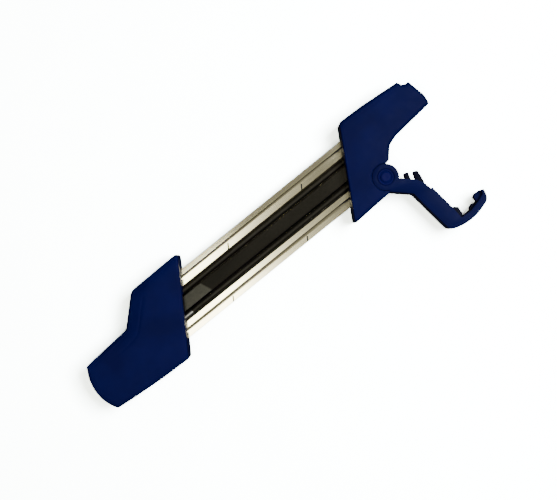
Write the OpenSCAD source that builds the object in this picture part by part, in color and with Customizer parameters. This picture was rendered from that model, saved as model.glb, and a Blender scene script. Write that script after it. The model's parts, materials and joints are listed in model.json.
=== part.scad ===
// Two-in-one saw-chain file guide: two guide rails between two handles, a flat file
// for the depth gauges between two round files for the cutters, and a swinging lever
// that locks the files in. X is the filing stroke, towards the lever end. Z is up.
// The origin is midway between the rails, on the plane that slides on the chain.

/* [Guide rails] */
// Width of each guide rail
rail_w = 10.6; // [9.6:0.2:11]
// Thickness of each guide rail over both lands
rail_t = 3.2; // [2.8:0.1:3.6]
// Thickness of each wing of a rail
wing_t = 2; // [1.6:0.1:2.2]
// Width of the land on each side of a rail
land_w = 3.9; // [3.6:0.1:4.4]
// Radius of the hollow between a rail's land and its wing
hollow_r = 1.8; // [1.4:0.1:3]
// Length of each guide rail, hidden ends included
rail_l = 188; // [184:1:190]
// Distance between the centre lines of the two rails
rail_pitch = 34; // [34:0.1:34.4]

/* [Files] */
// Diameter of the round files
round_d = 5.2; // [4.8:0.1:5.2]
// Length of the files' bodies
file_l = 203; // [202:0.5:203]
// Distance between the centre lines of the two round files
round_pitch = 16.8; // [16.4:0.1:16.8]
// Width of the flat file
flat_w = 12; // [11.6:0.1:12]
// Thickness of the flat file
flat_t = 4.5; // [4:0.1:4.8]
// Share of the round file's diameter that works below the guide plane
depth_share = 0.8; // [0.75:0.01:0.82]

/* [Handles] */
// Thickness of both handles
handle_t = 30; // [28:1:34]
// Wall of the handle shells
wall = 2.8; // [2.4:0.1:3.2]
// Height of the small bevel along the handles' edges
bevel = 1.2; // [0.8:0.2:1.4]
// Angle of the lever-end handle's edge across the rails
front_angle = 30; // [29:0.5:31]
// Angle of the rear handle's edge across the rails
rear_angle = 32.5; // [31:0.5:33]

/* [Locking lever] */
// Distance of the lever's pivot from the origin along the rails
pivot_x = 101.4; // [101.2:0.1:101.8]
// Distance of the lever's pivot from the origin across the rails
pivot_y = -21.1; // [-22:0.1:-21]
// Radius of the lever's two round ears
ear_r = 10.1; // [9.6:0.1:10.2]
// Thickness of each ear
ear_t = 4; // [3:0.5:5]
// Radius of the pivot pin
pin_r = 3; // [2.5:0.1:3.4]
// Thickness of the lever's arm and hook
arm_t = 18; // [14:1:20]

/* [Hidden] */
$fn = 64;

// Heights: everything is laid out about the mid-thickness of the rails
mid_z = rail_t / 2;
top_z = mid_z + handle_t / 2;
bottom_z = mid_z - handle_t / 2;
gap = 0.1;
run = 0.05;
crisp_drop = 0.4;
crisp_inset = 0.2;

// Places across and along the guide
rail_y = rail_pitch / 2;
rail_shift = 10.5;
hidden_shave = 0.2;
lip_w = 0.9;
lip_drop = 1.2;
lip_rise = 0.35;
round_y = round_pitch / 2;
low_file_z = (0.5 - depth_share) * round_d;
high_file_z = rail_t - low_file_z;
rear_edge_x = -78.3;
front_edge_x = 80.9;
edge_gap = 0.5;

// File ends, front end first: each one faces its own stop
right_file_end = 109.2;
left_file_end = 106.2;
flat_file_end = 113.4;
tang_w = 6;
tang_t = 3;
tang_l = 8;
flat_chamfer = 1.3;
tongue_w = 9.8;
tongue_l = 22;

// Seats for the files inside the handles
block_w = 28;
block_t = 16;
rear_block = [-103, -89.8];
front_block = [92, 104];
seat_gap = 0.2;
block_back = 1.5;
bush_r = 3.3;
bush_l = 8;
buffer_t = 3;

// Rail pins: left rail then right rail, at the rear and at the front
rail_pin_r = 2;
rail_pin_l = 13;
rear_pin_x = [-77, -97];
front_pin_x = [97.5, 77.5];

// Screws that clamp the handle shells together
screw_r = 1.75;
screw_head_r = 3.4;
screw_head_t = 2.4;
screw_sink = 3.2;
screw_top_z = top_z - 6;
boss_r = 4.4;
rear_screws = [[-84, 27.2], [-111, -26], [-113, 9], [-158, -10]];
front_screws = [[79, -26.8], [106, 27.4], [127, 13], [150, 15]];

// Lever: levels of its ears and of the web that carries its fingers
pivot = [pivot_x, pivot_y];
lever_t = handle_t - 2;
lever_top = mid_z + lever_t / 2;
lever_bottom = mid_z - lever_t / 2;
web_t = 8;
ear_gap = 0.5;
knuckle_r = ear_r + 0.1;
knuckle_gap = 0.7;
ear_clear = 0.4;
head_r = 6.5;
head_t = 1.6;
head_rim = 0.4;
button_r = 4;
washer_r = 8.4;
washer_t = 0.4;
press_gap = 0.02;
hook_r = 68.3;
lever_reach = 80;
web_slot_t = web_t + 1.2;
finger_reach = 32.5;
finger_root = 12.2;
foot_slot = [152, 5.6];

// Points of an arc about c, from angle a to angle b
function arc(c, r, a, b, n = 8) =
    [for (i = [0 : n]) c + r * [cos(a + (b - a) * i / n), sin(a + (b - a) * i / n)]];
function unit(v) = v / norm(v);
function angle(v) = atan2(v.y, v.x);
function turn(d) = d > 180 ? d - 360 : d < -180 ? d + 360 : d;

// One corner q between p and s, rounded with radius r
function corner(p, q, s, r) =
    let (u = unit(p - q), w = unit(s - q), half = acos(u * w) / 2,
         c = q + unit(u + w) * r / sin(half),
         a = angle(q + u * r / tan(half) - c), b = angle(q + w * r / tan(half) - c))
    arc(c, r, a, a + turn(b - a), r > 12 ? 14 : 6);

// Closed outline from corners [x, y, radius]
function xy(p) = [p.x, p.y];
function outline(v) =
    [for (i = [0 : len(v) - 1])
        let (p = xy(v[(i + len(v) - 1) % len(v)]), q = xy(v[i]), s = xy(v[(i + 1) % len(v)]))
        each v[i].z == 0 ? [q] : corner(p, q, s, v[i].z)];

rear_corners = [
    [-100.7, -34.6, 2], [-56.7, 33.5, 2], [-102.8, 32.9, 7], [-124, 12.5, 7], [-164.6, 9.6, 2],
    [-175.6, -12.5, 34], [-165.6, -30.2, 2.5], [-148, -32, 30], [-124, -33.8, 60]
];
front_corners = [
    [61.2, -34.1, 1.2], [96.2, -32.4, 0.6], [pivot_x, pivot_y, 0], [108.3, -13.2, 0],
    [111.4, -12.6, 1], [119.2, -4.2, 6], [127.3, -1.6, 14], [162.2, 1.6, 2], [163.3, 9, 12],
    [160, 24.6, 0.8], [157.4, 24.5, 1], [154.8, 25.6, 1], [153, 29.5, 1], [121, 32.4, 50],
    [99.8, 33.2, 3]
];
// Lever corners are measured from its pivot, with the lever fully open
lever_corners = [
    [-4.7, -10.3, 0.4], [9.2, -23.2, 3], [12.2, -50, 30], [13.8, -62.4, 6], [31, -67.8, 40],
    [50.9, -61.8, 7], [52.9, -53.6, 0.7], [50.8, -53, 0.7], [50.2, -56, 1], [44.3, -58.3, 6],
    [35.4, -60.5, 6], [26.2, -60.3, 1], [25.3, -46, 0], [23.2, -28.3, 0.3], [21.9, -28.1, 0.3],
    [20.4, -21.8, 6], [17.2, -16.2, 4], [9.1, -8.8, 0.5], [0, 0, 0]
];
short_finger = [
    [11.8, -13, 0], [15.4, -16, 0], [15, -12.6, 0], [16.7, -7.8, 0.9], [13.7, -6.5, 0.9],
    [12.3, -10.4, 0]
];
long_finger = [
    [17, -20, 0], [20.5, -25, 0], [21.8, -21.3, 0], [22.7, -16.6, 0], [23.1, -11.2, 0.9],
    [20, -9.7, 0.9], [17.8, -16, 0]
];
hook_foot = [[21, -47, 0], [23, -64, 0], [29, -63, 0], [30, -52.4, 0.8], [26.8, -49.9, 0.8]];
hook_knob = [
    [34.8, -61.5, 0], [39, -62, 0], [42.1, -60, 0], [40.6, -57.3, 0.9], [36.5, -58.4, 0.9]
];
hook_barb = [
    [44.9, -60, 0], [51.6, -60, 0], [52, -53.2, 0.6], [46.3, -52.7, 0.8], [43.8, -54.4, 0.8],
    [43.8, -57, 0.8]
];
// Side of the lever across the arm: full height at the ears, thinner from there on
arm_slope = [-9, -30];

// Edges of the two handles across the rails
function rear_edge(y, off = 0) = [rear_edge_x + y * tan(rear_angle) + off, y];
function front_edge(y, off = 0) = [front_edge_x + y * tan(front_angle) + off, y];

module between_handles(off) {
    polygon([rear_edge(-60, off), front_edge(-60, -off), front_edge(60, -off), rear_edge(60, off)]);
}

module rear_outline() polygon(outline(rear_corners));

module front_outline() {
    polygon(outline(front_corners));
    translate(pivot) circle(knuckle_r);
}

// A plate between two heights
module slab(z0, z1) translate([0, 0, z0]) linear_extrude(z1 - z0) children();

// A solid of the handle's thickness, its top and bottom edges set in by half the bevel,
// and by less along its edge across the rails, which faces the way of the shift
module bevelled(z0, z1, shift) {
    slab(z0 + bevel, z1 - bevel) children();
    slab(z0, z1) offset(delta = -bevel / 2) children();
    slab(z0 + crisp_drop, z1 - crisp_drop) intersection() {
        offset(delta = -crisp_inset) children();
        translate([shift, 0]) offset(delta = -bevel / 2) children();
    }
}

module x_rod(x0, x1, y, z, r) translate([x0, y, z]) rotate([0, 90, 0]) cylinder(r = r, h = x1 - x0);

module x_bar(x0, x1, y, w, z0, z1) translate([x0, y - w / 2, z0]) cube([x1 - x0, w, z1 - z0]);

// Room for the rails and their pins, with clearance all round
module rail_room(pins, far) {
    for (side = [0, 1]) {
        y = side == 0 ? rail_y : -rail_y;
        shift = side == 0 ? rail_shift : -rail_shift;
        end = shift + far * (rail_l / 2 + gap);
        x_bar(min(end, 0), max(end, 0), y, rail_w + 2 * gap, -gap, rail_t + gap);
        translate([pins[side], y, mid_z])
            cylinder(r = rail_pin_r + run, h = rail_pin_l + 2 * gap, center = true);
    }
}

// Room for the three files, from the handle's edge to the depth x_in
module file_room(x_in, flat_in, left_in) {
    grow = 0.5;
    x_rod(min(0, x_in), max(0, x_in), -round_y, high_file_z, round_d / 2 + grow);
    x_rod(min(0, left_in), max(0, left_in), round_y, low_file_z, round_d / 2 + grow);
    x_bar(min(0, flat_in), max(0, flat_in), 0, flat_w + 2 * grow, mid_z - flat_t / 2 - grow,
          mid_z + flat_t / 2 + grow);
}

module block_room(span) {
    x_bar(span[0] - gap, span[1] + gap, 0, block_w + 2 * gap, mid_z - block_t / 2 - gap,
          mid_z + block_t / 2 + gap);
}

module screw_room(places) {
    for (p = places) translate([p.x, p.y, bottom_z - 1]) {
        cylinder(r = screw_r + run, h = screw_top_z - bottom_z + 2);
        cylinder(r = screw_head_r + 0.2, h = 1 + screw_sink);
    }
}

module bosses(places) for (p = places) translate(p) circle(boss_r);

// Whole rear handle, before it is split into its two shells
module rear_handle() {
    difference() {
        bevelled(bottom_z, top_z, bevel) rear_outline();
        slab(bottom_z + wall, top_z - wall) difference() {
            intersection() {
                offset(delta = -wall) rear_outline();
                translate([-220, -60]) square([220 + rear_block[0] - 4, 120]);
            }
            bosses(rear_screws);
        }
        rail_room(rear_pin_x, -1);
        file_room(rear_block[1], rear_block[1], rear_block[1]);
        block_room(rear_block);
        screw_room(rear_screws);
    }
}

// Slots in the front handle for the web of the lever: its fingers, its foot and its barb
module lever_web_room() {
    translate(pivot)
        polygon(concat(arc([0, 0], finger_reach, -60, 62, 16), arc([0, 0], finger_root, 62, -60, 16)));
    difference() {
        translate([130, foot_slot.y]) square([50, 40]);
        translate(pivot) circle(hook_r);
    }
    translate([foot_slot.x, -5]) square([20, foot_slot.y + 5]);
}

// Whole front handle, before it is split into its two shells
module front_handle() {
    difference() {
        bevelled(bottom_z, top_z, -bevel) front_outline();
        slab(bottom_z + wall, top_z - wall) difference() {
            intersection() {
                offset(delta = -wall) front_outline();
                translate([113, -60]) square([80, 120]);
                translate(pivot) circle(hook_r - wall);
            }
            translate(pivot) circle(finger_reach + wall);
            translate([foot_slot.x - wall, 0]) square([20, foot_slot.y + wall]);
            bosses(front_screws);
        }
        slab(mid_z - web_slot_t / 2, mid_z + web_slot_t / 2) lever_web_room();
        for (z = [[lever_top - ear_t - ear_gap, top_z + 1], [bottom_z - 1, lever_bottom + ear_t + ear_gap]])
            slab(z[0], z[1]) translate(pivot) circle(ear_r + ear_clear);
        translate(concat(pivot, [bottom_z])) cylinder(r = pin_r + run / 2, h = handle_t);
        rail_room(front_pin_x, 1);
        file_room(right_file_end + 3, flat_file_end + 2, left_file_end + buffer_t + gap);
        block_room(front_block);
        screw_room(front_screws);
    }
}

module upper_half() intersection() {
    children();
    translate([-250, -100, mid_z]) cube([500, 200, handle_t]);
}

module lower_half() intersection() {
    children();
    translate([-250, -100, mid_z - handle_t]) cube([500, 200, handle_t]);
}

module screws(places) {
    for (p = places) translate([p.x, p.y, bottom_z + screw_sink - screw_head_t - gap]) difference() {
        union() {
            cylinder(r = screw_head_r, h = screw_head_t);
            cylinder(r = screw_r, h = screw_top_z - bottom_z - 1);
        }
        translate([0, 0, -1]) cylinder(r = 1.5, h = 2.4, $fn = 6);
    }
}

// Section of a rail across its length: a land above on one side and below on the other,
// each with a hollow beside it, and a lip that leans over the round file. The ends inside
// the handles have no lip, and their lands are lower.
module rail_section(side, shown) {
    land_z = shown ? rail_t : rail_t - hidden_shave;
    w = rail_w / 2;
    step = rail_t - wing_t;
    centre = [w - land_w - sqrt(2 * hollow_r * step - step * step), wing_t + hollow_r];
    ramp = arc(centre, hollow_r, asin((land_z - centre.y) / hollow_r), -90);
    upper = concat([[w, land_z, 0.2]], [for (p = ramp) [p.x, p.y, 0]], [[-w, wing_t, 0.2]]);
    lower = [for (p = upper) [-p.x, rail_t - p.y, p.z]];
    left_lip = [[-w - lip_w, wing_t - lip_drop, 0.2], [-w - lip_w, lip_rise, 0.1]];
    right_lip = [[w + lip_w, step + lip_rise, 0.1], [w + lip_w, rail_t - lip_drop, 0.2]];
    polygon(outline(concat(upper, shown && side > 0 ? left_lip : [], lower,
                           shown && side < 0 ? right_lip : [])));
}

module rail(side, pins) {
    x0 = side * rail_shift - rail_l / 2;
    difference() {
        for (shown = [true, false]) intersection() {
            translate([x0, side * rail_y, 0]) rotate([90, 0, 90]) linear_extrude(rail_l)
                rail_section(side, shown);
            slab(-1, rail_t + 1) {
                if (shown) between_handles(edge_gap);
                else difference() {
                    square([2 * rail_l, 4 * rail_pitch], center = true);
                    between_handles(edge_gap);
                }
            }
        }
        for (x = pins) translate([x, side * rail_y, -1]) cylinder(r = rail_pin_r + run, h = rail_t + 2);
    }
}

module rail_pins(places) {
    for (side = [0, 1]) translate([places[side], side == 0 ? rail_y : -rail_y, mid_z])
        cylinder(r = rail_pin_r, h = rail_pin_l, center = true);
}

module file_block(span, blind) {
    difference() {
        x_bar(span[0], span[1], 0, block_w, mid_z - block_t / 2, mid_z + block_t / 2);
        for (s = [-1, 1]) x_bar(span[0] - 1, span[1] + 1, s * (rail_y + gap), rail_w + 2 * seat_gap,
                                -seat_gap, rail_t + seat_gap);
        for (s = [-1, 1]) {
            z = s > 0 ? low_file_z : high_file_z;
            x_rod(span[1] - bush_l - run, span[1] + 1, s * round_y, z, bush_r + run);
            x_rod(span[0] + (blind ? block_back : -1), span[1], s * round_y, z, round_d / 2 + 0.3);
        }
        if (blind) x_bar(span[1] - tang_l - 1, span[1] + 1, 0, tang_w + 2 * seat_gap,
                         mid_z - tang_t / 2 - gap, mid_z + tang_t / 2 + gap);
        else x_bar(span[0] - 1, span[1] + 1, 0, tongue_w + 2 * gap, mid_z - flat_t / 2 - gap,
                   mid_z + flat_t / 2 + gap);
    }
}

module file_bushes(span) {
    for (s = [-1, 1]) {
        z = s > 0 ? low_file_z : high_file_z;
        difference() {
            x_rod(span[1] - bush_l, span[1], s * round_y, z, bush_r);
            x_rod(span[1] - bush_l - 1, span[1] + 1, s * round_y, z, round_d / 2 + run);
        }
    }
}

module rear_handle_top() color("midnightblue") upper_half() rear_handle();
module rear_handle_bottom() color("midnightblue") lower_half() rear_handle();
module rear_handle_screws() color("silver") screws(rear_screws);
module front_handle_top() color("midnightblue") upper_half() front_handle();
module front_handle_bottom() color("midnightblue") lower_half() front_handle();
module front_handle_screws() color("silver") screws(front_screws);
module left_guide_rail() color("silver") rail(1, [rear_pin_x[0], front_pin_x[0]]);
module right_guide_rail() color("silver") rail(-1, [rear_pin_x[1], front_pin_x[1]]);
module rear_rail_pins() color("gray") rail_pins(rear_pin_x);
module front_rail_pins() color("gray") rail_pins(front_pin_x);

// Flat file: a blunt tang at the rear, a body with bevelled edges and a narrower tongue,
// which ends at its stop at the front
module flat_file() color("dimgray") {
    x0 = flat_file_end - file_l;
    shoulder = flat_file_end - tongue_l;
    w = flat_w / 2;
    t = flat_t / 2;
    translate([x0, 0, mid_z]) rotate([90, 0, 90]) linear_extrude(shoulder - x0)
        polygon([
            [w, flat_chamfer - t], [w, t - flat_chamfer], [w - flat_chamfer, t], [flat_chamfer - w, t],
            [-w, t - flat_chamfer], [-w, flat_chamfer - t], [flat_chamfer - w, -t],
            [w - flat_chamfer, -t]
        ]);
    x_bar(shoulder, flat_file_end, 0, tongue_w, mid_z - t, mid_z + t);
    x_bar(x0 - tang_l, x0, 0, tang_w, mid_z - tang_t / 2, mid_z + tang_t / 2);
}

module left_round_file() color("dimgray") {
    x_rod(left_file_end - file_l, left_file_end, round_y, low_file_z, round_d / 2);
}

module right_round_file() color("dimgray") {
    x_rod(right_file_end - file_l, right_file_end, -round_y, high_file_z, round_d / 2);
}

module rear_file_block() color("black") file_block(rear_block, true);
module front_file_block() color("black") file_block(front_block, false);
module rear_file_bushes() color("goldenrod") file_bushes(rear_block);
module front_file_bushes() color("goldenrod") file_bushes(front_block);

// Rubber discs that the round files press against
module file_end_buffers() color("black") {
    rear_left = left_file_end - file_l;
    rear_right = right_file_end - file_l;
    x_rod(rear_left - buffer_t - run, rear_left - run, round_y, low_file_z, round_d / 2);
    x_rod(rear_right - buffer_t - run, rear_right - run, -round_y, high_file_z, round_d / 2);
    x_rod(left_file_end + run, left_file_end + buffer_t, round_y, low_file_z, round_d / 2);
}

// Lever: two round ears about the pivot, a thinner arm and hook, and a web with fingers
module lever_side() {
    rise = lever_t / 2;
    arm = arm_t / 2;
    translate([-lever_reach, 0, mid_z]) rotate([90, 0, 90]) linear_extrude(2 * lever_reach)
        polygon([
            [2 * ear_r, -rise], [2 * ear_r, rise], [arm_slope[0], rise], [arm_slope[1], arm],
            [-lever_reach, arm], [-lever_reach, -arm], [arm_slope[1], -arm], [arm_slope[0], -rise]
        ]);
}

module lever_shape() {
    difference() {
        union() {
            intersection() {
                slab(lever_bottom, lever_top) {
                    polygon(outline(lever_corners));
                    circle(ear_r);
                }
                lever_side();
            }
            slab(mid_z - web_t / 2, mid_z + web_t / 2)
                for (part = [short_finger, long_finger, hook_foot, hook_knob, hook_barb])
                    polygon(outline(part));
        }
        slab(lever_bottom + ear_t, lever_top - ear_t) circle(knuckle_r + knuckle_gap);
        slab(lever_bottom - 1, lever_top + 1) circle(pin_r + run);
        slab(lever_top - head_t - run, lever_top + 1) circle(head_r + gap);
        slab(lever_bottom - 1, lever_bottom + head_t + run) circle(head_r + gap);
    }
}

module locking_lever() color("navy") translate(pivot) lever_shape();

// Pin: a round head with a raised button, flush in the upper ear
module lever_pivot_pin() color("navy") translate(pivot) {
    slab(lever_bottom + head_rim, lever_top) circle(pin_r);
    slab(lever_top - head_t, lever_top - head_rim) circle(head_r);
    slab(lever_top - head_t, lever_top) circle(button_r);
}

module lever_pivot_washers() color("gainsboro") translate(pivot) {
    play = (ear_gap - washer_t) / 2;
    for (z = [lever_top - ear_t - ear_gap + play, lever_bottom + ear_t + play])
        slab(z, z + washer_t) difference() {
            circle(washer_r);
            circle(pin_r + gap);
        }
}

// Cap pressed on the lower end of the pin
module lever_pivot_cap() color("navy") translate(pivot) difference() {
    slab(lever_bottom, lever_bottom + head_t) circle(head_r);
    slab(lever_bottom + head_rim, lever_top) circle(pin_r + press_gap);
}

rear_handle_top();
rear_handle_bottom();
rear_handle_screws();
front_handle_top();
front_handle_bottom();
front_handle_screws();
left_guide_rail();
right_guide_rail();
rear_rail_pins();
front_rail_pins();
flat_file();
left_round_file();
right_round_file();
rear_file_block();
front_file_block();
rear_file_bushes();
front_file_bushes();
file_end_buffers();
locking_lever();
lever_pivot_pin();
lever_pivot_washers();
lever_pivot_cap();
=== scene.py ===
import json
import math
import bpy
import bmesh
import numpy as np
from mathutils import Matrix, Vector, geometry


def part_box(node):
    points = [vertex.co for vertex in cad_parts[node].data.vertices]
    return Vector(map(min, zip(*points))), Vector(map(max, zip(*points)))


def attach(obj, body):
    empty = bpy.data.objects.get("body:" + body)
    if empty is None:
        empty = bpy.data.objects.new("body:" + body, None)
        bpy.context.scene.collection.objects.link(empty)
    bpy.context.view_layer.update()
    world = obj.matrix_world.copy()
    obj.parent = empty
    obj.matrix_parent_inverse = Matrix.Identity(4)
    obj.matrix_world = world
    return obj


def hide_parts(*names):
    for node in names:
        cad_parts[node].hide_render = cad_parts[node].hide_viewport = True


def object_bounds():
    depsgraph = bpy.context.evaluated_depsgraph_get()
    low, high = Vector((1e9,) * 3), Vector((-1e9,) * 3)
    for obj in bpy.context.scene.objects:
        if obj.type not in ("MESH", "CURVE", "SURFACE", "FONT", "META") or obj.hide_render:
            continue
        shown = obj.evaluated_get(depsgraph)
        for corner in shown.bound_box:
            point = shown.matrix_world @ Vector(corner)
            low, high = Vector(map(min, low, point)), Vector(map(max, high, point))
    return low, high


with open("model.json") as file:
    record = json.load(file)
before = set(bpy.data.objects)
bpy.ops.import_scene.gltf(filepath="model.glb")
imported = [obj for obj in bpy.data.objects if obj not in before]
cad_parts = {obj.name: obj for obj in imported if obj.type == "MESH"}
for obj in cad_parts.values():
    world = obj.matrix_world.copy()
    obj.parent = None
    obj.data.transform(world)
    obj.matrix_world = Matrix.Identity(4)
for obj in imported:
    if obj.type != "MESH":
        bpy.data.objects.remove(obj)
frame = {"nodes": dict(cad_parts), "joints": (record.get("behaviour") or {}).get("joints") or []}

# Sizes are in millimetres unless a name says otherwise; MM turns them into the scene's metres.
MM = 0.001
nodes = frame["nodes"]
cad_box = [list(corner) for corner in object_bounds()]


def box_mm(node):
    low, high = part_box(node)
    return np.array(low) / MM, np.array(high) / MM


# ---------------------------------------------------------------- measures taken from the frame

top_z = box_mm("rear_handle_top")[1][2]
part_z = box_mm("rear_handle_top")[0][2]
hinge = next(j for j in frame["joints"] if j["name"] == "lever_hinge")
pivot = Vector(hinge["pos_m"]) / MM


# ---------------------------------------------------------------- outlines and meshes


def new_object(name, mesh):
    obj = bpy.data.objects.new(name, mesh)
    bpy.context.scene.collection.objects.link(obj)
    return obj


def from_lists(name, points, faces):
    mesh = bpy.data.meshes.new(name)
    mesh.from_pydata([tuple(c * MM for c in p) for p in points], [], faces)
    bm = bmesh.new()
    bm.from_mesh(mesh)
    bmesh.ops.recalc_face_normals(bm, faces=bm.faces)
    bm.to_mesh(mesh)
    bm.free()
    return new_object(name, mesh)


def loft(name, rows):
    """Closed skin through rows of points, capped at both ends."""
    n = len(rows[0])
    verts = [p for row in rows for p in row]
    faces = [tuple(reversed(range(n))), tuple(range((len(rows) - 1) * n, len(rows) * n))]
    for here in range(0, (len(rows) - 1) * n, n):
        for i in range(n):
            j = (i + 1) % n
            faces.append((here + i, here + j, here + n + j, here + n + i))
    return from_lists(name, verts, faces)


def outer_loop(node, z):
    """The outline of a CAD node at height z: its largest closed section, anticlockwise."""
    bm = bmesh.new()
    bm.from_mesh(nodes[node].data)
    bmesh.ops.remove_doubles(bm, verts=bm.verts, dist=1e-6)
    cut = bmesh.ops.bisect_plane(
        bm, geom=bm.verts[:] + bm.edges[:] + bm.faces[:], dist=1e-7,
        plane_co=(0, 0, z * MM), plane_no=(0, 0, 1))
    edges = [e for e in cut["geom_cut"] if isinstance(e, bmesh.types.BMEdge)]
    links = {}
    for e in edges:
        a, b = e.verts
        links.setdefault(a, []).append(b)
        links.setdefault(b, []).append(a)
    loops = []
    unused = set(links)
    while unused:
        start = unused.pop()
        loop = [start]
        here = start
        while True:
            onward = [v for v in links[here] if v in unused]
            if not onward:
                break
            here = onward[0]
            unused.discard(here)
            loop.append(here)
        points = np.array([v.co[:2] for v in loop]) / MM
        if len(points) > 3:
            loops.append(points)
    bm.free()
    area, best = max(((signed_area(p), p) for p in loops), key=lambda pair: abs(pair[0]))
    return best if area > 0 else best[::-1]


def signed_area(p):
    q = np.roll(p, -1, axis=0)
    return 0.5 * np.sum(p[:, 0] * q[:, 1] - q[:, 0] * p[:, 1])


def tidy_loop(loop, step, nearest=0.05):
    """The loop without points closer than nearest, and with long edges divided."""
    kept = [loop[0]]
    for p in loop[1:]:
        if np.linalg.norm(p - kept[-1]) > nearest:
            kept.append(p)
    if np.linalg.norm(kept[0] - kept[-1]) <= nearest:
        kept.pop()
    out = []
    for a, b in zip(kept, kept[1:] + kept[:1]):
        parts = max(1, math.ceil(np.linalg.norm(b - a) / step))
        out += [a + (b - a) * i / parts for i in range(parts)]
    return np.array(out)


def inward(loop):
    """Unit normals at the loop's points, towards its inside."""
    along = np.roll(loop, -1, axis=0) - np.roll(loop, 1, axis=0)
    along /= np.linalg.norm(along, axis=1)[:, None]
    return np.stack([-along[:, 1], along[:, 0]], axis=1)


def distance_to(points, path, closed=False):
    """Distance from each point to a path."""
    a = path if closed else path[:-1]
    b = np.roll(path, -1, axis=0) if closed else path[1:]
    ab = b - a
    ap = points[:, None, :] - a[None]
    t = np.clip((ap * ab).sum(2) / np.maximum((ab * ab).sum(1), 1e-12), 0, 1)
    return np.linalg.norm(ap - t[..., None] * ab, axis=2).min(1)


def is_inside(points, loop):
    a, b = loop, np.roll(loop, -1, axis=0)
    x, y = points[:, 0, None], points[:, 1, None]
    crosses = (a[:, 1] > y) != (b[:, 1] > y)
    slope = (b[:, 0] - a[:, 0]) / np.where(b[:, 1] == a[:, 1], 1e-12, b[:, 1] - a[:, 1])
    return (crosses & (x < a[:, 0] + (y - a[:, 1]) * slope)).sum(1) % 2 == 1


# ---------------------------------------------------------------- handle shells

EDGE_ROUND = 3.0
CRISP_ROUND = 1.0
# The new surfaces lie this far inside the CAD ones
SKIN = 0.02
# The outline is taken this far over the parting line, and its points are this close together
SECTION_RISE = 7
OUTLINE_STEP = 1.6
# Edges that face along the rails, within this angle, belong to the crisp end
END_SPREAD = math.radians(4)
# Rows of points on a rounded edge, and the spacing of the points on the flat
ROUND_STEPS = 8
GRID = 2.0
# Least distances: between rows of the two ends, and of the flat's points from either rounded edge
SEAM_GAP = 0.15
CRISP_GAP = 0.4
ROUND_GAP = 0.6
# Slopes of the handles' edges across the rails, measured from the frame's Y axis
REAR_SLOPE = math.radians(32.5)
FRONT_SLOPE = math.radians(30)
# Rows of points down the walls: height over the parting line, and how far inside the outline. A
# groove runs along the parting line, and the last row reaches past it.
PART_GROOVE = 0.25
WALL_ROWS = ((0.45, 0.0), (0.25, 0.05), (0.0, PART_GROOVE), (-4.0, PART_GROOVE))


class Outline:
    """A handle's outline, parted into its crisp edge across the rails and the rounded rest."""

    def __init__(self, node, end_normal):
        loop = tidy_loop(outer_loop(node, part_z + SECTION_RISE), OUTLINE_STEP)
        loop = loop + inward(loop) * SKIN
        normals = inward(loop)
        facing = normals @ np.array(end_normal) < -math.cos(END_SPREAD)
        run = [i for i in range(len(loop)) if facing[i] and not facing[i - 1]]
        start = max(run, key=lambda i: run_length(facing, i))
        count = run_length(facing, start)
        self.loop = np.roll(loop, -start, axis=0)
        self.normals = np.roll(normals, -start, axis=0)
        self.parts = [(slice(0, count), CRISP_ROUND), (slice(count - 1, None), EDGE_ROUND)]
        self.paths = [self.loop[:count], np.concatenate([self.loop[count - 1:], self.loop[:1]])]

    def reaches(self, points):
        return [distance_to(points, path) for path in self.paths]

    def rounding(self, points):
        """Depth of the rounded edges below the flat top at each point."""
        drops = [round_drop(d, r) for d, r in zip(self.reaches(points), (CRISP_ROUND, EDGE_ROUND))]
        return np.maximum(*drops)

    def edge_points(self):
        """Rows of points along the rounded edges, closer together where the surface is steep."""
        found = []
        turn = 1 - np.cos(np.linspace(0, math.pi / 2, ROUND_STEPS)[1:])
        for k, (part, radius) in enumerate(self.parts):
            for depth in radius * turn:
                p = self.loop[part] + self.normals[part] * depth
                reach = self.reaches(p)
                clear = (reach[k] > depth - 0.01) & (reach[1 - k] > SEAM_GAP)
                found.append(p[clear & is_inside(p, self.loop)])
        return np.concatenate(found)


def run_length(flags, start):
    count = 0
    while flags[(start + count) % len(flags)]:
        count += 1
    return count


def round_drop(d, radius):
    """How far a surface rounded with this radius lies below its top, at d from the outline."""
    t = np.clip(1 - d / radius, 0, 1)
    return radius * (1 - np.sqrt(1 - t * t))


def skin_of(name, outline, drop, extra, upward):
    """Closed smooth envelope of one handle shell; drop(points, d) is its depth below the flat top."""
    loop = outline.loop
    low, high = loop.min(0), loop.max(0)
    gx, gy = np.meshgrid(np.arange(low[0], high[0], GRID), np.arange(low[1], high[1], GRID))
    grid = np.stack([gx.ravel(), gy.ravel()], axis=1)
    grid = grid[is_inside(grid, loop)]
    end, rest = outline.reaches(grid)
    grid = grid[(end > CRISP_ROUND + CRISP_GAP) & (rest > EDGE_ROUND + ROUND_GAP)]
    flat = np.concatenate([loop, outline.edge_points(), *extra, grid])
    n = len(loop)
    border = [(i, (i + 1) % n) for i in range(n)]
    out = geometry.delaunay_2d_cdt([Vector(p) for p in flat], border, [], 1, 0.02)
    points = np.array([tuple(v) for v in out[0]])
    faces = [tuple(f) for f in out[2]]
    d = distance_to(points, loop, closed=True)
    top = top_z - SKIN - outline.rounding(points) - drop(points, d)
    verts = [(p[0], p[1], z) for p, z in zip(points, top)]
    rim = rim_order(faces)
    normals = inward(points[rim])
    last = rim
    for rise, inset in WALL_ROWS:
        row = []
        for i, normal in zip(rim, normals):
            p = points[i] + normal * inset
            row.append(len(verts))
            verts.append((p[0], p[1], part_z + rise))
        for k in range(len(rim)):
            m = (k + 1) % len(rim)
            faces.append((last[k], last[m], row[m], row[k]))
        last = row
    faces.append(tuple(reversed(last)))
    if not upward:
        verts = [(x, y, 2 * part_z - z) for x, y, z in verts]
    return from_lists(name, verts, faces)


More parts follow.
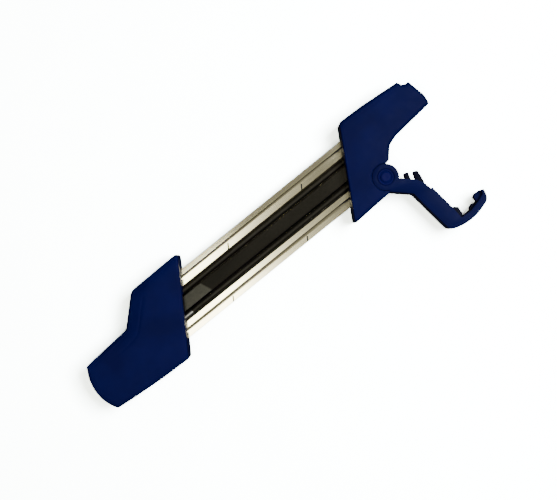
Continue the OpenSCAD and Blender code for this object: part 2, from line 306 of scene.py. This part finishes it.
def rim_order(faces):
    """The open border of a set of faces, as one anticlockwise loop of point numbers."""
    # a dictionary keeps the edges in their order
    seen = {edge: True for f in faces for edge in zip(f, f[1:] + f[:1])}
    onward = {a: b for a, b in seen if (b, a) not in seen}
    start = next(iter(onward))
    loop = [start]
    while onward[loop[-1]] != start:
        loop.append(onward[loop[-1]])
    return loop


def carve(obj, tool, operation):
    """Boolean of obj with tool, applied; the tool is used up and leaves its material on the cut."""
    mod = obj.modifiers.new("carve", "BOOLEAN")
    mod.object = tool
    mod.operation = operation
    mod.solver = "EXACT"
    mod.material_mode = "TRANSFER"
    apply_modifiers(obj)
    bpy.data.objects.remove(tool)


def apply_modifiers(obj):
    bpy.context.view_layer.update()
    graph = bpy.context.evaluated_depsgraph_get()
    mesh = bpy.data.meshes.new_from_object(obj.evaluated_get(graph))
    obj.modifiers.clear()
    old = obj.data
    obj.data = mesh
    bpy.data.meshes.remove(old)


def smooth(obj, angle=32):
    obj.data.shade_smooth()
    obj.data.set_sharp_from_angle(angle=math.radians(angle))


def weigh_normals(obj):
    """Shades wide flat faces flat and leaves the bending to the narrow faces between them."""
    mod = obj.modifiers.new("normals", "WEIGHTED_NORMAL")
    mod.keep_sharp = True
    mod.weight = 100
    apply_modifiers(obj)


def copy_of(node, name):
    """A new piece with the shape of a CAD node, its flat faces joined up."""
    mesh = nodes[node].data.copy()
    mesh.materials.clear()
    bm = bmesh.new()
    bm.from_mesh(mesh)
    bmesh.ops.remove_doubles(bm, verts=bm.verts, dist=2e-6)
    bmesh.ops.dissolve_limit(bm, angle_limit=math.radians(0.5), verts=bm.verts, edges=bm.edges)
    bm.to_mesh(mesh)
    bm.free()
    return new_object(name, mesh)


def finish_piece(obj, node, mat, body="guide", angle=32):
    """Gives a new piece its material and body, in place of a CAD node."""
    obj.data.materials.clear()
    obj.data.materials.append(mat)
    smooth(obj, angle)
    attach(obj, body)
    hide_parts(node)


def paint_part(obj, mat, chosen):
    """The second material goes on the faces whose corners are all chosen."""
    obj.data.materials.append(mat)
    for p in obj.data.polygons:
        if all(chosen(obj.data.vertices[v].co / MM) for v in p.vertices):
            p.material_index = 1


# The rear handle's face falls away outside a crease that runs this far from its waist, by so much at
# the edge, and fades out towards the rear; a fine line follows the crease
CREASE = 10.0
CREASE_DROP = 1.5
CREASE_END = -149.0
CREASE_FADE = 22.0
CREASE_LINE = 0.32
CREASE_LINE_HALF = 0.5
CREASE_ROWS = (-0.9, -0.4, 0.0, 0.4, 0.9)
CREASE_GAP = 0.3
# The waist is the part of the outline between two X, over a Y
WAIST = (-164.0, -102.5, 8.0)
# The same face also falls away in a band along its left edge
TOP_BAND = 7.5
TOP_BAND_DROP = 0.8
# Both handles' faces are this much lower at their edges, out to this distance from them
SWELL = 0.35
SWELL_REACH = 22.0
# Distances from the pivot where the front handle's rounded edge has gone and where it is full
EAR_FADE = (12.5, 17.0)


def waist_of(loop):
    start, end, low = WAIST
    path = loop[(loop[:, 0] > start) & (loop[:, 0] < end) & (loop[:, 1] > low)]
    return path[np.argsort(path[:, 0])]


def crown(d):
    """The moulded faces swell very slightly towards their middle."""
    return SWELL * np.clip(1 - d / SWELL_REACH, 0, 1) ** 2


def rear_drop(points, d):
    reach = distance_to(points, waist_of(rear.loop))
    fade = np.clip((points[:, 0] - CREASE_END) / CREASE_FADE, 0, 1)
    fade = fade * fade * (3 - 2 * fade)
    band = np.clip((CREASE - reach) / CREASE, 0, 1)
    line = CREASE_LINE * np.exp(-((reach - CREASE) / CREASE_LINE_HALF) ** 2)
    top_y = rear.loop[:, 1].max()
    top_band = TOP_BAND_DROP * np.clip(1 - (top_y - points[:, 1]) / TOP_BAND, 0, 1) ** 1.5
    return (CREASE_DROP * band ** 0.8 + line) * fade + top_band + crown(d)


def front_drop(points, d):
    """Near the lever's ear the handle keeps its full height, so that the two surfaces run on."""
    away = np.linalg.norm(points - np.array(pivot[:2]), axis=1)
    beside = np.clip((EAR_FADE[1] - away) / (EAR_FADE[1] - EAR_FADE[0]), 0, 1)
    return crown(d) - front.rounding(points) * beside


def crease_points():
    """Rows of points on both sides of the crease, so that its line stays sharp."""
    waist = waist_of(rear.loop)
    along = np.gradient(waist, axis=0)
    along /= np.linalg.norm(along, axis=1)[:, None]
    normals = np.stack([along[:, 1], -along[:, 0]], axis=1)
    found = []
    for step in CREASE_ROWS:
        p = waist + normals * (CREASE + step)
        keep = distance_to(p, waist) > CREASE + step - 0.05
        keep &= distance_to(p, rear.loop, closed=True) > EDGE_ROUND + CREASE_GAP
        found.append(p[keep & is_inside(p, rear.loop)])
    return found


def shell(node, outline, drop, extra, upward):
    """One handle shell: its CAD shape cut back to the smooth envelope."""
    piece = copy_of(node, node + "_skin")
    carve(piece, skin_of("envelope", outline, drop, extra, upward), "INTERSECT")
    return piece


# ---------------------------------------------------------------- materials


def material(name):
    mat = bpy.data.materials.new(name)
    mat.use_nodes = True
    return mat, mat.node_tree, mat.node_tree.nodes["Principled BSDF"]


def noise(tree, scale, detail=3.0, stretch=(1, 1, 1)):
    """Noise in the object's own metres, stretched along its axes."""
    where = tree.nodes.new("ShaderNodeTexCoord")
    mapping = tree.nodes.new("ShaderNodeMapping")
    mapping.inputs["Scale"].default_value = stretch
    tex = tree.nodes.new("ShaderNodeTexNoise")
    tex.inputs["Scale"].default_value = scale
    tex.inputs["Detail"].default_value = detail
    tree.links.new(where.outputs["Object"], mapping.inputs["Vector"])
    tree.links.new(mapping.outputs["Vector"], tex.inputs["Vector"])
    return tex.outputs["Fac"]


def ramp(tree, source, low, high, out_low, out_high):
    """Maps the source's low to high onto out_low to out_high, and no further."""
    node = tree.nodes.new("ShaderNodeMapRange")
    node.inputs["From Min"].default_value = low
    node.inputs["From Max"].default_value = high
    node.inputs["To Min"].default_value = out_low
    node.inputs["To Max"].default_value = out_high
    tree.links.new(source, node.inputs["Value"])
    return node.outputs["Result"]


def mix(tree, factor, a, b):
    node = tree.nodes.new("ShaderNodeMix")
    node.data_type = "RGBA"
    node.inputs["A"].default_value = (*a, 1)
    node.inputs["B"].default_value = (*b, 1)
    tree.links.new(factor, node.inputs["Factor"])
    return node.outputs["Result"]


def bump(tree, source, strength, depth, onto=None):
    node = tree.nodes.new("ShaderNodeBump")
    node.inputs["Strength"].default_value = strength
    node.inputs["Distance"].default_value = depth * MM
    tree.links.new(source, node.inputs["Height"])
    if onto:
        tree.links.new(onto, node.inputs["Normal"])
    return node.outputs["Normal"]


def plastic(name, colour, rough=0.46, grain=0.02):
    """Moulded nylon: a fine spark-eroded grain, slow colour drift and a dull sheen."""
    mat, tree, shader = material(name)
    dark = tuple(c * 0.86 for c in colour)
    light = tuple(min(1, c * 1.12) for c in colour)
    drift = ramp(tree, noise(tree, 45, 2), 0.35, 0.65, 0, 1)
    tree.links.new(mix(tree, drift, dark, light), shader.inputs["Base Color"])
    patches = ramp(tree, noise(tree, 160, 4), 0.3, 0.7, rough - 0.04, rough + 0.05)
    tree.links.new(patches, shader.inputs["Roughness"])
    shader.inputs["Specular IOR Level"].default_value = 0.022
    coarse = bump(tree, noise(tree, 1400, 2), 0.2, grain * 2)
    tree.links.new(bump(tree, noise(tree, 4200, 3), 0.4, grain, coarse), shader.inputs["Normal"])
    return mat


def metal(name, colour, rough, along=(0.02, 1, 1), grain=0.004, tint=0.9, lines=5200, spread=0.07):
    """Metal with fine lines along one axis and a cloudy finish."""
    mat, tree, shader = material(name)
    shader.inputs["Metallic"].default_value = 1.0
    second = tuple(c * tint for c in colour)
    cloud = ramp(tree, noise(tree, 60, 3, (0.5, 1, 1)), 0.35, 0.65, 0, 1)
    tree.links.new(mix(tree, cloud, colour, second), shader.inputs["Base Color"])
    streaks = noise(tree, lines, 2, along)
    shine = ramp(tree, streaks, 0.3, 0.7, rough - spread, rough + spread)
    tree.links.new(shine, shader.inputs["Roughness"])
    tree.links.new(bump(tree, streaks, 0.6, grain), shader.inputs["Normal"])
    return mat


def rubber(name, colour):
    """Dull rubber, or the near-black painted shade in the rails' marks, with a fine, even grain."""
    mat, tree, shader = material(name)
    shade = ramp(tree, noise(tree, 300, 3), 0.3, 0.7, 0, 1)
    light = tuple(c * 1.4 for c in colour)
    tree.links.new(mix(tree, shade, colour, light), shader.inputs["Base Color"])
    shader.inputs["Roughness"].default_value = 0.8
    shader.inputs["Specular IOR Level"].default_value = 0.05
    tree.links.new(bump(tree, noise(tree, 2500, 3), 0.4, 0.03), shader.inputs["Normal"])
    return mat


NAVY = (0.0013, 0.0023, 0.0385)
LEVER_NAVY = (0.0013, 0.0023, 0.0345)
PIN_NAVY = (0.0022, 0.0022, 0.046)
# Painted shade: a darker navy for the lever's recessed web at mid height
WEB_SHADE_NAVY = (0.0014, 0.0018, 0.009)
handle_plastic = plastic("handle_plastic", NAVY)
lever_plastic = plastic("lever_plastic", LEVER_NAVY)
web_shade_plastic = plastic("web_shade_plastic", WEB_SHADE_NAVY)
pin_plastic = plastic("pin_plastic", PIN_NAVY)
rail_steel = metal("rail_steel", (0.80, 0.75, 0.50), 0.11, grain=0.0025, tint=0.95, spread=0.02)
# Near-black painted shade on the faces of the rails' engraved marks
mark_painted_shade = rubber("mark_painted_shade", (0.006, 0.006, 0.006))
file_steel = metal("file_steel", (0.030, 0.028, 0.022), 0.5, (1, 0.3, 1), 0.006, 0.8, 2600)
shank_steel = metal("shank_steel", (0.02, 0.02, 0.0165), 0.34, (0.05, 1, 1), 0.005, 0.8)
neck_steel = metal("neck_steel", (0.2, 0.2, 0.185), 0.3, (0.05, 1, 1), 0.005, 0.8)
screw_steel = metal("screw_steel", (0.55, 0.55, 0.56), 0.35)
pin_steel = metal("pin_steel", (0.5, 0.5, 0.5), 0.25)
brass = metal("bush_brass", (0.72, 0.5, 0.2), 0.3)
block_plastic = plastic("block_plastic", (0.012, 0.012, 0.014))
buffer_rubber = rubber("buffer_rubber", (0.012, 0.012, 0.012))

KEPT = {
    "rear_handle_screws": screw_steel, "front_handle_screws": screw_steel,
    "rear_rail_pins": pin_steel, "front_rail_pins": pin_steel,
    "rear_file_block": block_plastic, "front_file_block": block_plastic,
    "rear_file_bushes": brass, "front_file_bushes": brass,
    "file_end_buffers": buffer_rubber, "lever_pivot_washers": pin_steel,
}
for node, mat in KEPT.items():
    nodes[node].data.materials.clear()
    nodes[node].data.materials.append(mat)

# ---------------------------------------------------------------- handles

rear = Outline("rear_handle_top", (math.cos(REAR_SLOPE), -math.sin(REAR_SLOPE)))
front = Outline("front_handle_top", (-math.cos(FRONT_SLOPE), math.sin(FRONT_SLOPE)))
for side, upward in (("top", True), ("bottom", False)):
    node = "rear_handle_" + side
    piece = shell(node, rear, rear_drop, crease_points(), upward)
    finish_piece(piece, node, handle_plastic)
    node = "front_handle_" + side
    piece = shell(node, front, front_drop, [], upward)
    finish_piece(piece, node, handle_plastic)

# ---------------------------------------------------------------- lever and its pivot


def bevelled(obj, width, segments=3, angle=35):
    mod = obj.modifiers.new("edges", "BEVEL")
    mod.width = width * MM
    mod.segments = segments
    mod.limit_method = "ANGLE"
    mod.angle_limit = math.radians(angle)
    mod.use_clamp_overlap = True
    apply_modifiers(obj)


# The radius at which a turned profile starts and ends, so that its caps have an area
AXIS = 0.05


def turned(name, profile, centre, segments=64):
    """A closed round solid about Z from a profile of (radius, height) points, axis to axis."""
    turns = [2 * math.pi * i / segments for i in range(segments)]
    return loft(name, [[(centre[0] + r * math.cos(a), centre[1] + r * math.sin(a), z) for a in turns]
                       for r, z in profile])


# The thin web, recessed at mid height, gets painted shade in a darker navy: this far each side of mid
# height, and up to the barb this far from the pin
WEB_HALF = 4.1
BARB_START = 43.5
LEVER_EDGE = 0.45
CAP_EDGE = 0.3
lever = copy_of("locking_lever", "locking_lever_skin")
bevelled(lever, LEVER_EDGE)
finish_piece(lever, "locking_lever", lever_plastic, "lever")
# painted shade on the faces of the recessed web
paint_part(lever, web_shade_plastic, lambda c: abs(c.z - part_z) < WEB_HALF and c.x < pivot.x + BARB_START)

# The pin's head has a rounded rim, a sunk ring and a raised button, whose face dips a little
PIN_RADIUS = 3.0
BUTTON_RADIUS = 4.0
HEAD_HEIGHT = 1.6
RIM_DROP = 0.4
pin_low, pin_high = box_mm("lever_pivot_pin")
pin_top, pin_foot = pin_high[2], pin_low[2]
head_r = (pin_high[0] - pin_low[0]) / 2
pin = turned("lever_pivot_pin_skin", [
    (AXIS, pin_foot), (PIN_RADIUS - 0.3, pin_foot), (PIN_RADIUS, pin_foot + 0.3),
    (PIN_RADIUS, pin_top - HEAD_HEIGHT), (head_r, pin_top - HEAD_HEIGHT), (head_r, pin_top - 1.15),
    (head_r - 0.3, pin_top - 0.75), (head_r - 0.8, pin_top - RIM_DROP),
    (BUTTON_RADIUS + 1.2, pin_top - RIM_DROP), (BUTTON_RADIUS + 0.75, pin_top - 0.75),
    (BUTTON_RADIUS + 0.3, pin_top - 1.0), (BUTTON_RADIUS, pin_top - 0.9),
    (BUTTON_RADIUS - 0.1, pin_top - 0.45), (BUTTON_RADIUS - 0.55, pin_top - 0.1),
    (BUTTON_RADIUS - 1.4, pin_top), (BUTTON_RADIUS * 0.4, pin_top - 0.12),
    (AXIS, pin_top - 0.15)], pivot)
finish_piece(pin, "lever_pivot_pin", pin_plastic)

cap = copy_of("lever_pivot_cap", "lever_pivot_cap_skin")
bevelled(cap, CAP_EDGE)
finish_piece(cap, "lever_pivot_cap", pin_plastic)

# ---------------------------------------------------------------- guide rails with their angle marks

# Where each rail's marks start, with their slant carried back to the left rail's inner edge
MARK_X = {"left_guide_rail": (-25.4, 46.85), "right_guide_rail": (-26.5, 46.6)}
MARK_ANGLE = math.radians(32)
MARK_LENGTH = 3.8
MARK_WIDTH = 1.0
MARK_DEPTH = 0.3


def mark_tool(centre_x, edge_y, surface_z):
    """A thin slanted bar that cuts one mark inward from a rail's edge."""
    along = Vector((math.sin(MARK_ANGLE), math.cos(MARK_ANGLE)))
    across = Vector((along.y, -along.x)) * MARK_WIDTH / 2
    start = Vector((centre_x, edge_y)) - along
    end = Vector((centre_x, edge_y)) + along * MARK_LENGTH / along.y
    corners = [start - across, start + across, end + across, end - across]
    verts = [(c.x, c.y, z) for z in (surface_z - MARK_DEPTH, surface_z + 1) for c in corners]
    faces = [(0, 3, 2, 1), (4, 5, 6, 7)] + [(i, (i + 1) % 4, 4 + (i + 1) % 4, 4 + i) for i in range(4)]
    return from_lists("mark", verts, faces)


RAIL_WIDTH = 10.6
RAIL_TOP = 3.2
WING_TOP = 2.0
LAND_EDGE = 3.9
# The left rail's outer land leans outward by the little that the pressed sheet springs back
LAND_FALL = math.tan(math.radians(1.2))
LAND_CREST = 0.3
# The hollow between land and wing runs out slowly: distance from the land at heights over the wing
HOLLOW_HEIGHT = (0, 0.02, 0.085, 0.19, 0.33, 0.5, 0.71, 0.94, 1.2)
HOLLOW_REACH = (3.2, 2.6, 1.95, 1.4, 0.9, 0.55, 0.3, 0.12, 0)
# The CAD's own hollow lies within this distance of the land
CAD_HOLLOW = 1.8
RAIL_SHARP = 30


def spread_hollows(obj, middle_y):
    """Widens the two hollows of a rail, the upper one and its twin on the underside."""
    land_side = RAIL_WIDTH / 2 - LAND_EDGE
    for v in obj.data.vertices:
        for sign in (1, -1):
            across = sign * (v.co.y / MM - middle_y)
            over_wing = (v.co.z / MM if sign > 0 else RAIL_TOP - v.co.z / MM) - WING_TOP
            reach = land_side - across
            if -0.01 < over_wing < RAIL_TOP - WING_TOP - 0.01 and -0.02 < reach < CAD_HOLLOW:
                new_reach = np.interp(over_wing, HOLLOW_HEIGHT, HOLLOW_REACH)
                v.co.y = (middle_y + sign * (land_side - new_reach)) * MM


def lean_land(obj, inner_y, top):
    """Tilts the top face of a rail's outer land, which starts at inner_y."""
    for v in obj.data.vertices:
        if v.co.z > (top - LAND_CREST) * MM:
            v.co.z -= max(0, v.co.y - inner_y * MM) * LAND_FALL


left_box, right_box = box_mm("left_guide_rail"), box_mm("right_guide_rail")
# each rail's edge on its right side, where its marks start
rail_edges = {"left_guide_rail": left_box[1][1] - RAIL_WIDTH, "right_guide_rail": right_box[0][1]}
rail_middles = {"left_guide_rail": left_box[1][1] - RAIL_WIDTH / 2,
                "right_guide_rail": right_box[0][1] + RAIL_WIDTH / 2}
for node, edge_y in rail_edges.items():
    rail = copy_of(node, node + "_skin")
    rail.data.materials.append(rail_steel)
    spread_hollows(rail, rail_middles[node])
    if node == "left_guide_rail":
        lean_land(rail, left_box[1][1] - LAND_EDGE, left_box[1][2])
    shift = (edge_y - rail_edges["left_guide_rail"]) * math.tan(MARK_ANGLE)
    for x in MARK_X[node]:
        tool = mark_tool(x + shift, edge_y, WING_TOP)
        # the cut's faces take the near-black painted shade of the engraved mark
        tool.data.materials.append(mark_painted_shade)
        carve(rail, tool, "DIFFERENCE")
    smooth(rail, RAIL_SHARP)
    weigh_normals(rail)
    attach(rail, "guide")
    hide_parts(node)

# ---------------------------------------------------------------- files

# The teeth: pitch, the share of it that a tooth rises over, and the depths of the cuts
TOOTH = 0.8
TOOTH_RISE = 0.72
FLAT_CUT = 0.16
ROUND_CUT = 0.1
# The flat file: the slant of its teeth across it, its bevels, and where its teeth start
FLAT_LEAN = 0.42
FLAT_CHAMFER = 1.3
END_CHAMFER = 0.3
FLAT_CUT_START = -56.7
# Its tang is so wide, thick and long, and its tongue so wide and long
TANG = (6.0, 3.0, 8.0)
TONGUE = (9.8, 22.0)
# The round files: where their teeth start, how far each row leans and over what length that grows,
# the smooth length at the front end, and the chamfers at the rear and front ends
ROUND_CUT_START = -76.0
ROUND_LEAN = 0.9
LEAN_GROWTH = 5
SMOOTH_TIP = 2.0
REAR_CHAMFER = 0.4
FRONT_CHAMFER = 0.5
ROUND_SIDES = 36
FILE_SHARP = 20


def bar_section(x, width, thick, chamfer, centre_z, lean=0.0, depth=0.0):
    """Eight corners of a bevelled bar at x; a cut depth thins it, a lean slants it."""
    w, t = width / 2, thick / 2
    shape = [(-w, chamfer - t), (chamfer - w, -t), (w - chamfer, -t), (w, chamfer - t),
             (w, t - chamfer), (w - chamfer, t), (chamfer - w, t), (-w, t - chamfer)]
    return [(x - lean * y, y, centre_z + z * (1 - depth / t)) for y, z in shape]


def flat_file():
    """Flat file: slanted teeth on its faces and bevels, a smooth rear end, a tang and a tongue."""
    low, high = box_mm("flat_file")
    width, thick, mid = high[1] - low[1], high[2] - low[2], (high[2] + low[2]) / 2
    body_start = low[0] + TANG[2]
    body_end = high[0] - TONGUE[1]
    body = (width, thick, FLAT_CHAMFER, mid)
    tang = (TANG[0], TANG[1], END_CHAMFER, mid)
    tongue = (TONGUE[0], thick, END_CHAMFER, mid)
    rows = [bar_section(low[0], *tang), bar_section(body_start, *tang),
            bar_section(body_start, *body), bar_section(FLAT_CUT_START - TOOTH / 2, *body, FLAT_LEAN)]
    x = FLAT_CUT_START
    while x + TOOTH < body_end - FLAT_LEAN * width / 2:
        rows.append(bar_section(x, *body, FLAT_LEAN, FLAT_CUT))
        rows.append(bar_section(x + TOOTH * TOOTH_RISE, *body, FLAT_LEAN))
        x += TOOTH
    rows += [bar_section(body_end, *body), bar_section(body_end, *tongue),
             bar_section(high[0], *tongue)]
    return loft("flat_file_skin", rows)


def round_file(node):
    """Round file: slanted rows of fine teeth between a smooth rear shank and a chamfered end."""
    low, high = box_mm(node)
    radius = (high[1] - low[1]) / 2
    centre_y, centre_z = (high[1] + low[1]) / 2, (high[2] + low[2]) / 2

    def ring(x, r, lean=0.0):
        turns = [2 * math.pi * i / ROUND_SIDES for i in range(ROUND_SIDES)]
        return [(x + lean * math.cos(a), centre_y + r * math.cos(a), centre_z + r * math.sin(a))
                for a in turns]

    rows = [ring(low[0], radius - REAR_CHAMFER), ring(low[0] + REAR_CHAMFER, radius),
            ring(ROUND_CUT_START - TOOTH / 2, radius)]
    x = ROUND_CUT_START
    last = high[0] - SMOOTH_TIP
    while x + TOOTH < last:
        # the slant grows from nothing at the shank and fades again at the front end
        lean = ROUND_LEAN * min(1, (x - ROUND_CUT_START) / LEAN_GROWTH, (last - x) / LEAN_GROWTH)
        rows.append(ring(x, radius - ROUND_CUT, lean))
        rows.append(ring(x + TOOTH * TOOTH_RISE, radius, lean))
        x += TOOTH
    rows += [ring(high[0] - FRONT_CHAMFER, radius), ring(high[0], radius - FRONT_CHAMFER)]
    return loft(node + "_skin", rows)


flat = flat_file()
finish_piece(flat, "flat_file", file_steel, "guide", FILE_SHARP)
paint_part(flat, shank_steel, lambda c: c.x < FLAT_CUT_START - FLAT_LEAN * c.y)
for node, body in (("left_round_file", "left_file"), ("right_round_file", "right_file")):
    obj = round_file(node)
    finish_piece(obj, node, file_steel, body, FILE_SHARP)
    paint_part(obj, neck_steel, lambda c: c.x < ROUND_CUT_START)

# ---------------------------------------------------------------- floor, lights and camera

# The photograph looks straight down: the object's turn in it, the width it takes in at a height
# near the handles' tops, and the point at its middle, towards the picture's right and top
PHOTO_ANGLE = math.radians(38.9)
FRAME_WIDTH = 423.0
FOCUS_HEIGHT = 10
CENTRE = (11.2, -7.8)
CAMERA_HEIGHT = 800.0
SENSOR = 36.0


def look(obj, place, target, up):
    """Turns obj at place so that its -Z looks at the target."""
    back = (Vector(place) - Vector(target)).normalized()
    right = Vector(up).cross(back).normalized()
    true_up = back.cross(right)
    rot = Matrix((right, true_up, back)).transposed().to_4x4()
    obj.matrix_world = Matrix.Translation(Vector(place) * MM) @ rot


# the picture's right and up directions on the table, in the object's frame
picture_right = Vector((math.cos(PHOTO_ANGLE), -math.sin(PHOTO_ANGLE), 0))
picture_up = Vector((math.sin(PHOTO_ANGLE), math.cos(PHOTO_ANGLE), 0))

aim = picture_right * CENTRE[0] + picture_up * CENTRE[1]
camera = new_object("camera", bpy.data.cameras.new("camera"))
camera.data.sensor_width = SENSOR
camera.data.lens = SENSOR * (CAMERA_HEIGHT - FOCUS_HEIGHT) / FRAME_WIDTH
look(camera, aim + Vector((0, 0, CAMERA_HEIGHT)), aim, picture_up)
bpy.context.scene.camera = camera

# The backdrop is exposed to a clean white, so its paper returns more light than it receives, and
# keeps its shadows; it is hidden from the object's own reflections
PAPER = 9.8
PAPER_TINT = (0.9, 1.0, 1.0)
PAPER_MOTTLE = 1.03
FLOOR_HALF = 3000
floor_z = cad_box[0][2] / MM
corners = [(FLOOR_HALF * x, FLOOR_HALF * y, floor_z) for x, y in ((-1, -1), (1, -1), (1, 1), (-1, 1))]
floor = from_lists("floor", corners, [(0, 1, 2, 3)])
floor_mat, floor_tree, _ = material("floor_paper")
paper = floor_tree.nodes.new("ShaderNodeBsdfDiffuse")
shade = mix(floor_tree, ramp(floor_tree, noise(floor_tree, 20, 2), 0.3, 0.7, 0, 1),
            tuple(PAPER * c for c in PAPER_TINT),
            tuple(PAPER * PAPER_MOTTLE * c for c in PAPER_TINT))
floor_tree.links.new(shade, paper.inputs["Color"])
floor_tree.links.new(paper.outputs["BSDF"], floor_tree.nodes["Material Output"].inputs["Surface"])
floor.visible_diffuse = False
floor.visible_glossy = False
floor.data.materials.append(floor_mat)


def panel(name, place, target, size, watts, colour=(1, 1, 1)):
    """A soft rectangular lamp."""
    data = bpy.data.lights.new(name, "AREA")
    data.shape = "RECTANGLE"
    data.size, data.size_y = size[0] * MM, size[1] * MM
    data.energy = watts
    data.color = colour
    look(new_object(name, data), place, target, (0.0, 1.0, 0.01))


# The main lamp: how far towards the picture's right and top it hangs, its height, size and power
KEY_RIGHT, KEY_UP, KEY_Z = 620, 260, 1300
KEY_SIDE = 620
KEY_WATTS = 31
key_place = picture_right * KEY_RIGHT + picture_up * KEY_UP + Vector((0, 0, KEY_Z))
panel("key", key_place, Vector((0, 0, 0)), (KEY_SIDE, KEY_SIDE), KEY_WATTS)

# A row of ceiling panels shines back from the rails, less and less towards the front: where each
# starts and ends along the object, how far it reaches to the left, and its radiance
PANEL_Z = 1050
PANEL_RIGHT = -260
PANEL_ENDS = (-300, -85, -45, -5, 35, 75, 115)
PANEL_LEFT = (88, 88, 50, 50, 50, 50)
PANEL_RADIANCE = (12.5, 6.5, 3.0, 1.6, 0.7, 0.5)
PANEL_COLOUR = (1.0, 0.97, 0.86)
for k, radiance in enumerate(PANEL_RADIANCE):
    size = (PANEL_ENDS[k + 1] - PANEL_ENDS[k], PANEL_LEFT[k] - PANEL_RIGHT)
    place = Vector((PANEL_ENDS[k] + size[0] / 2, PANEL_RIGHT + size[1] / 2, PANEL_Z))
    watts = radiance * math.pi * size[0] * MM * size[1] * MM
    panel("overhead_%d" % k, place, place - Vector((0, 0, 1)), size, watts, PANEL_COLOUR)

# The room is warm and dim, brighter overhead and towards the rear, darker near the horizon: from,
# to, and the values there, along the direction's Z and X, multiplied together
ROOM_HEIGHT = (0.3, 1.0, 0.08, 0.3)
ROOM_LENGTH = (-0.5, 0.35, 1.25, 0.6)
ROOM_COLOUR = (1.0, 0.96, 0.82)
world = bpy.data.worlds.new("studio")
world.use_nodes = True
sky = world.node_tree
direction = sky.nodes.new("ShaderNodeTexCoord")
axes = sky.nodes.new("ShaderNodeSeparateXYZ")
sky.links.new(direction.outputs["Generated"], axes.inputs["Vector"])
height = ramp(sky, axes.outputs["Z"], *ROOM_HEIGHT)
rearward = ramp(sky, axes.outputs["X"], *ROOM_LENGTH)
strength = sky.nodes.new("ShaderNodeMath")
strength.operation = "MULTIPLY"
sky.links.new(height, strength.inputs[0])
sky.links.new(rearward, strength.inputs[1])
backdrop = sky.nodes["Background"]
backdrop.inputs["Color"].default_value = (*ROOM_COLOUR, 1)
sky.links.new(strength.outputs["Value"], backdrop.inputs["Strength"])
bpy.context.scene.world = world

bpy.context.view_layer.update()
